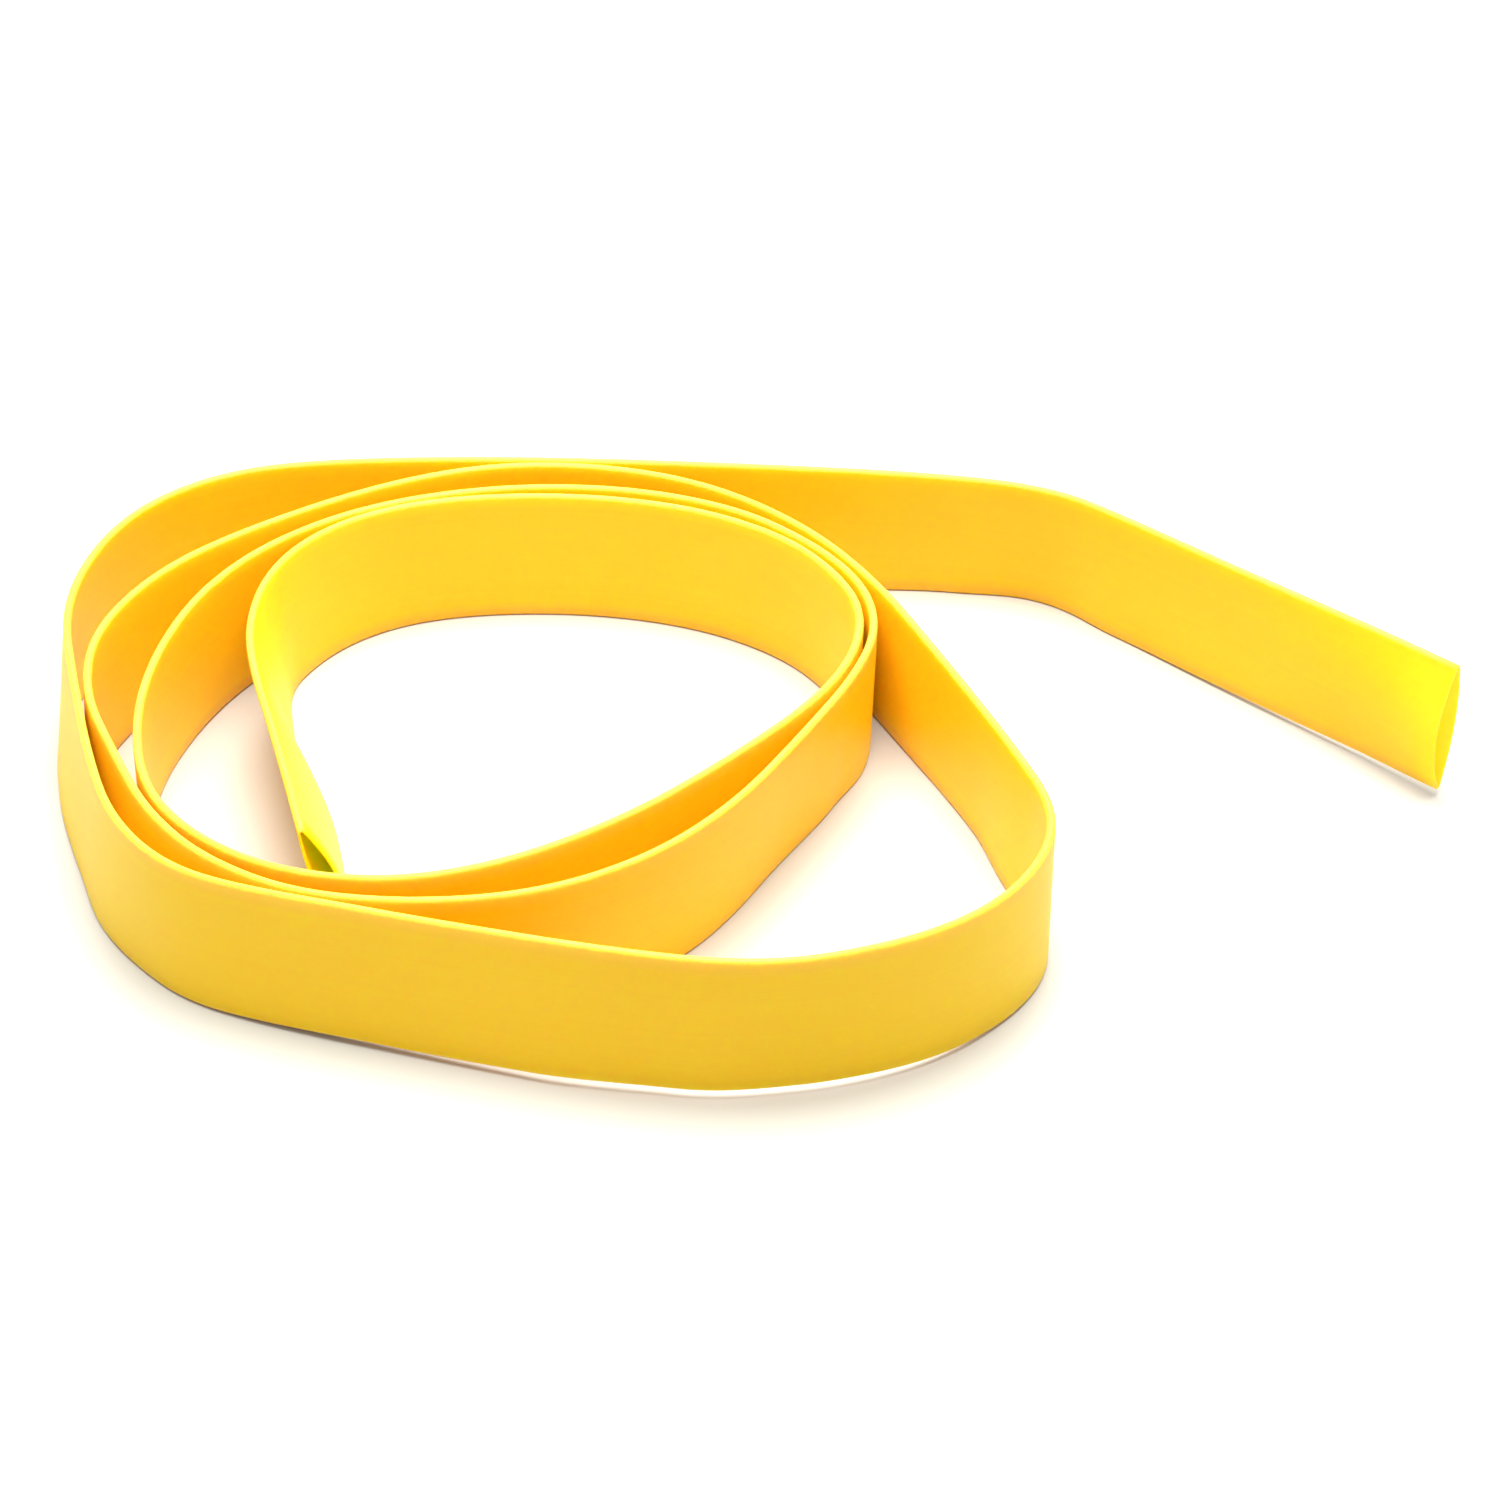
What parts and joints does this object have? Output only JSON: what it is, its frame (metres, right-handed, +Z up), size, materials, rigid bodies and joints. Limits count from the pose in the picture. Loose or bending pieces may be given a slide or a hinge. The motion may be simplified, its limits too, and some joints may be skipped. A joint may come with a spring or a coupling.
{
  "type": "heat-shrink tubing",
  "caption": "Length of lay-flat yellow heat-shrink tubing standing on edge in a loose coil, both cut ends slightly open, to slip over a cable or splice and shrink tight.",
  "frame": {"origin": "centre of the coil's footprint, on the surface that it stands on", "axes": "+Z up, along the tubing's lay-flat width; +X towards the straight tail's end, along the coil's longest side"},
  "size_m": [0.1868, 0.1148, 0.0205],
  "materials": {
    "yellow_polyolefin": "satin yellow polyolefin, slightly translucent"
  },
  "bodies": {
    "root": {"tube": "yellow_polyolefin"}
  },
  "joints": []
}
